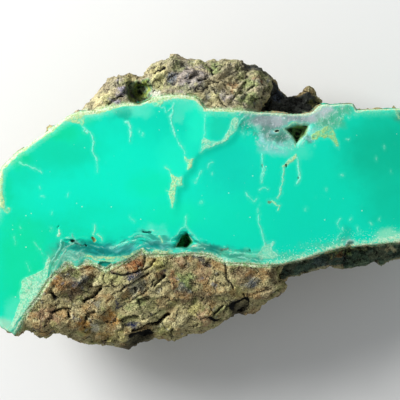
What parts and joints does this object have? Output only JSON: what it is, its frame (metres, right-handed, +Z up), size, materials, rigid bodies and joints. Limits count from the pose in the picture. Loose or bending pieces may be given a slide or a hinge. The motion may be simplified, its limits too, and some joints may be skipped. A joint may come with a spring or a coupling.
{
  "type": "variscite stone",
  "caption": "Loose piece of green variscite vein with a smooth dressed face, set in rough brown host rock, lying on its back on a small level patch.",
  "frame": {"origin": "middle of the stone's box, at the level patch that it rests on", "axes": "+X along the vein, +Y across it towards the thin upper rock, +Z up out of the dressed green face"},
  "size_m": [0.115, 0.0746, 0.0366],
  "materials": {
    "variscite_in_rock": "dressed face of waxy mint to sea green variscite with cream veins and a grey-white crust, in matt grainy host rock of cream, olive, brown and rust"
  },
  "bodies": {
    "root": {"variscite_stone": "variscite_in_rock"}
  },
  "joints": []
}
